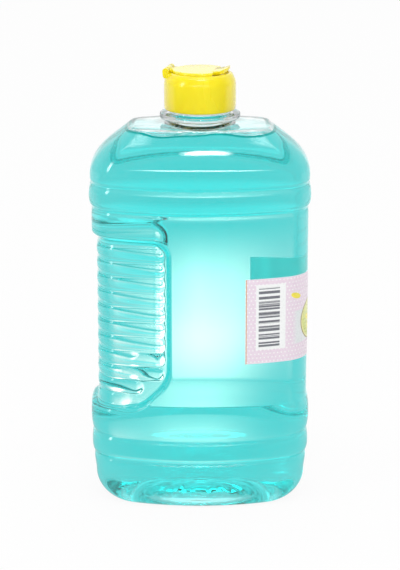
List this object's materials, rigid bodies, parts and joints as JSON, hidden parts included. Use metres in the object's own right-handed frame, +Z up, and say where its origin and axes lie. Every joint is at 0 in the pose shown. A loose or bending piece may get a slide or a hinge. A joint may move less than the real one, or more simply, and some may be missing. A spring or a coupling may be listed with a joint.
{
  "type": "cologne bottle",
  "caption": "Clear blown bottle with a ribbed hand grip, flip-top screw cap, wrap label and turquoise cologne inside.",
  "frame": {"origin": "middle of the base, on the surface the bottle stands on", "axes": "+Z up, +X towards the front end with the label, -X towards the ribbed grip"},
  "size_m": [0.07, 0.0418, 0.1402],
  "materials": {
    "clear_pet": "clear, glossy",
    "cologne": "clear tinted liquid",
    "label_film": "printed film",
    "yellow_cap": "satin moulded",
    "liner_foam": "foam"
  },
  "bodies": {
    "bottle_body": {"bottle": "clear_pet", "cologne": "cologne", "label": "label_film"},
    "liner_body": {"cap_liner": "liner_foam"},
    "cap": {"cap_body": "yellow_cap"},
    "lid": {"flip_lid": "yellow_cap"}
  },
  "joints": [
    {"name": "cap_lift", "type": "slide", "parent": "bottle_body", "child": "liner_body", "axis": [0, 0, 1], "range_m": [0, 0.01591]},
    {"name": "cap_turn", "type": "hinge", "parent": "liner_body", "child": "cap", "pos_m": [0, 0, 0.1267], "axis": [0, 0, 1], "range_deg": [0, 1800]},
    {"name": "lid_flip", "type": "hinge", "parent": "cap", "child": "lid", "pos_m": [-0.00978, 0.00208, 0.1386], "axis": [-0.2079, -0.9781, 0], "range_deg": [0, 170]}
  ],
  "couplings": [
    {"joint": "cap_lift", "follows": "cap_turn", "m_per_rad": 0.00050611}
  ]
}
